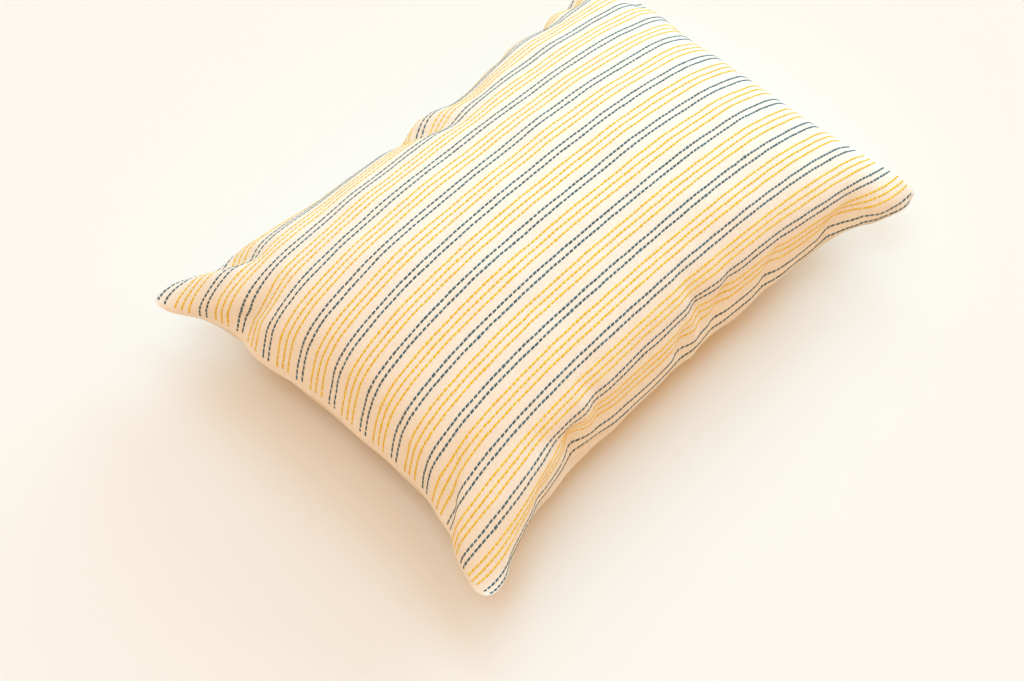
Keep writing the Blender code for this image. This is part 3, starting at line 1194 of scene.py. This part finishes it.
        share = bench.math("MULTIPLY_ADD", bench.math("SUBTRACT", fuzz["Blotch"], 0.5), 0.8, tone)
        share = bench.math("ADD", share, 0.0, clamped=True)
        body = bench.mix(share, (*finish.dark, 1), (*finish.light, 1))
        # Painted shade: the yarn darkens in the furrows between its twisted strands.
        shade = tuple(self.furrow_shade * value for value in finish.dark)
        furrow = bench.math("SUBTRACT", 1.0, bench.span(strand, 0.0, 0.6))
        body = bench.mix(bench.math("MULTIPLY", furrow, self.furrow_shade_share), body, (*shade, 1))
        # Painted shade: each float darkens at its ends, where it dives into the cloth.
        dive = bench.span(dip, 0.86, 1.0)
        body = bench.mix(bench.math("MULTIPLY", dive, self.dive_shade_share), body, (*shade, 1))
        bench.plug(shader.inputs["Base Color"], body)
        rough = bench.math("MULTIPLY_ADD", fuzz["Fuzz"], 0.16, finish.roughness - 0.08)
        bench.plug(shader.inputs["Roughness"], rough)

        normal = bench.bump(strand, 0.00012, 0.8)
        normal = bench.bump(fuzz["Fuzz"], 0.00010, 0.6, normal)
        bench.plug(shader.inputs["Normal"], normal)
        return material


def shader_of(material: bpy.types.Material) -> bpy.types.Node:
    """Give a new material nodes and return its Principled shader."""
    material.use_nodes = True
    return material.node_tree.nodes["Principled BSDF"]


@dataclass(frozen=True)
class Lamp:
    """One broad lamp: where its light comes from, in degrees, and its strength."""

    name: str
    heading: float
    height: float
    strength: float


LAMPS = (
    Lamp("side", 5, 20, 1.20),
    Lamp("behind", 43, 43, 0.66),
    Lamp("high", 0, 64, 0.42),
    Lamp("left", 90, 68, 0.27),
    Lamp("front", 180, 68, 0.67),
    Lamp("near", 290, 50, 0.10),
)


@dataclass
class Studio:
    """The plain pale floor, the soft light and the camera."""

    azimuth: float = -53.68
    elevation: float = 55.56
    lean: float = 7.90
    place: tuple[float, float, float] = (-0.6570, -0.4593, 1.0918)
    focal_pixels: float = 1704.4
    frame_width: int = 1024
    sensor_width: float = 36.0
    floor_size: float = 12.0
    floor_drop: float = 0.0005
    floor_colour: tuple[float, float, float] = (0.83, 0.805, 0.757)
    glow_colour: tuple[float, float, float] = (0.88, 0.37, 0.02)
    backdrop_colour: tuple[float, float, float] = (1.0, 0.94, 0.85)
    lamp_colour: tuple[float, float, float] = (0.45, 1.14, 1.58)
    lamp_angle: float = 35.0

    def build(self) -> None:
        """Make the floor, the lights and the camera."""
        self.make_floor()
        self.make_lights()
        self.make_camera()

    def make_floor(self) -> None:
        """A plain pale floor just under the pillow."""
        mesh = bmesh.new()
        bmesh.ops.create_grid(mesh, x_segments=1, y_segments=1, size=self.floor_size / 2)
        bmesh.ops.translate(mesh, verts=mesh.verts, vec=(0, 0, -self.floor_drop))
        data = bpy.data.meshes.new("floor")
        mesh.to_mesh(data)
        mesh.free()
        floor = add_object("floor", data)
        material = bpy.data.materials.new("floor_paper")
        shader = shader_of(material)
        shader.inputs["Base Color"].default_value = (*self.floor_colour, 1)
        shader.inputs["Roughness"].default_value = 0.95
        data.materials.append(material)

    def make_lights(self) -> None:
        """A warm surrounding light, and cooler broad lamps that together even it out to white."""
        self.make_surroundings()
        for lamp in LAMPS:
            light = bpy.data.lights.new(lamp.name, "SUN")
            light.energy = lamp.strength
            light.angle = math.radians(self.lamp_angle)
            light.color = self.lamp_colour
            item = add_object(lamp.name, light)
            turn, rise = math.radians(lamp.heading), math.radians(lamp.height)
            toward = Vector((
                math.cos(turn) * math.cos(rise),
                math.sin(turn) * math.cos(rise),
                math.sin(rise),
            ))
            item.rotation_euler = toward.to_track_quat("Z", "Y").to_euler()

    def make_surroundings(self) -> None:
        """Warm light from all round, behind a backdrop as pale as the floor."""
        world = bpy.data.worlds.new("studio")
        world.use_nodes = True
        bench = NodeBench(world.node_tree)
        glow = world.node_tree.nodes["Background"]
        glow.inputs["Color"].default_value = (*self.glow_colour, 1)
        backdrop = bench.node("ShaderNodeBackground")
        backdrop.inputs["Color"].default_value = (*self.backdrop_colour, 1)
        seen = bench.node("ShaderNodeLightPath").outputs["Is Camera Ray"]
        mixed = bench.node("ShaderNodeMixShader")
        for socket, value in zip(mixed.inputs, (seen, glow.outputs[0], backdrop.outputs[0])):
            bench.plug(socket, value)
        output = world.node_tree.nodes["World Output"]
        bench.plug(output.inputs["Surface"], mixed.outputs["Shader"])
        bpy.context.scene.world = world

    def make_camera(self) -> None:
        """The camera at the photograph's angle."""
        lens = bpy.data.cameras.new("camera")
        lens.sensor_width = self.sensor_width
        lens.lens = self.focal_pixels / self.frame_width * self.sensor_width
        camera = add_object("camera", lens)
        azimuth, elevation = math.radians(self.azimuth), math.radians(self.elevation)
        back = Vector((
            math.sin(azimuth) * math.cos(elevation),
            -math.cos(azimuth) * math.cos(elevation),
            math.sin(elevation),
        ))
        level = (-back).to_track_quat("-Z", "Y").to_matrix()
        turn = Matrix.Rotation(math.radians(self.lean), 3, back)
        camera.matrix_world = (turn @ level).to_4x4()
        camera.location = self.place
        bpy.context.scene.camera = camera


def main() -> None:
    """Build every piece in order."""
    logging.basicConfig(level=logging.INFO, format="%(name)s: %(message)s")
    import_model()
    Studio().build()
    bpy.context.scene.view_settings.view_transform = "Standard"

    maker = Cover()
    cover = maker.build()
    materials = CottonMaterials()
    cover.data.materials.append(materials.cream())
    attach(cover, BODY)
    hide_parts(NODE)

    surface = FrontSurface(cover, maker.shape)
    layout = StripeLayout()
    for yarn, finish in YARN_FINISHES.items():
        stitch = RunningStitch(yarn, surface, layout, finish.float_share)
        rows = stitch.build(materials.yarn(finish))
        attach(rows, BODY)


if __name__ == "__main__":
    main()
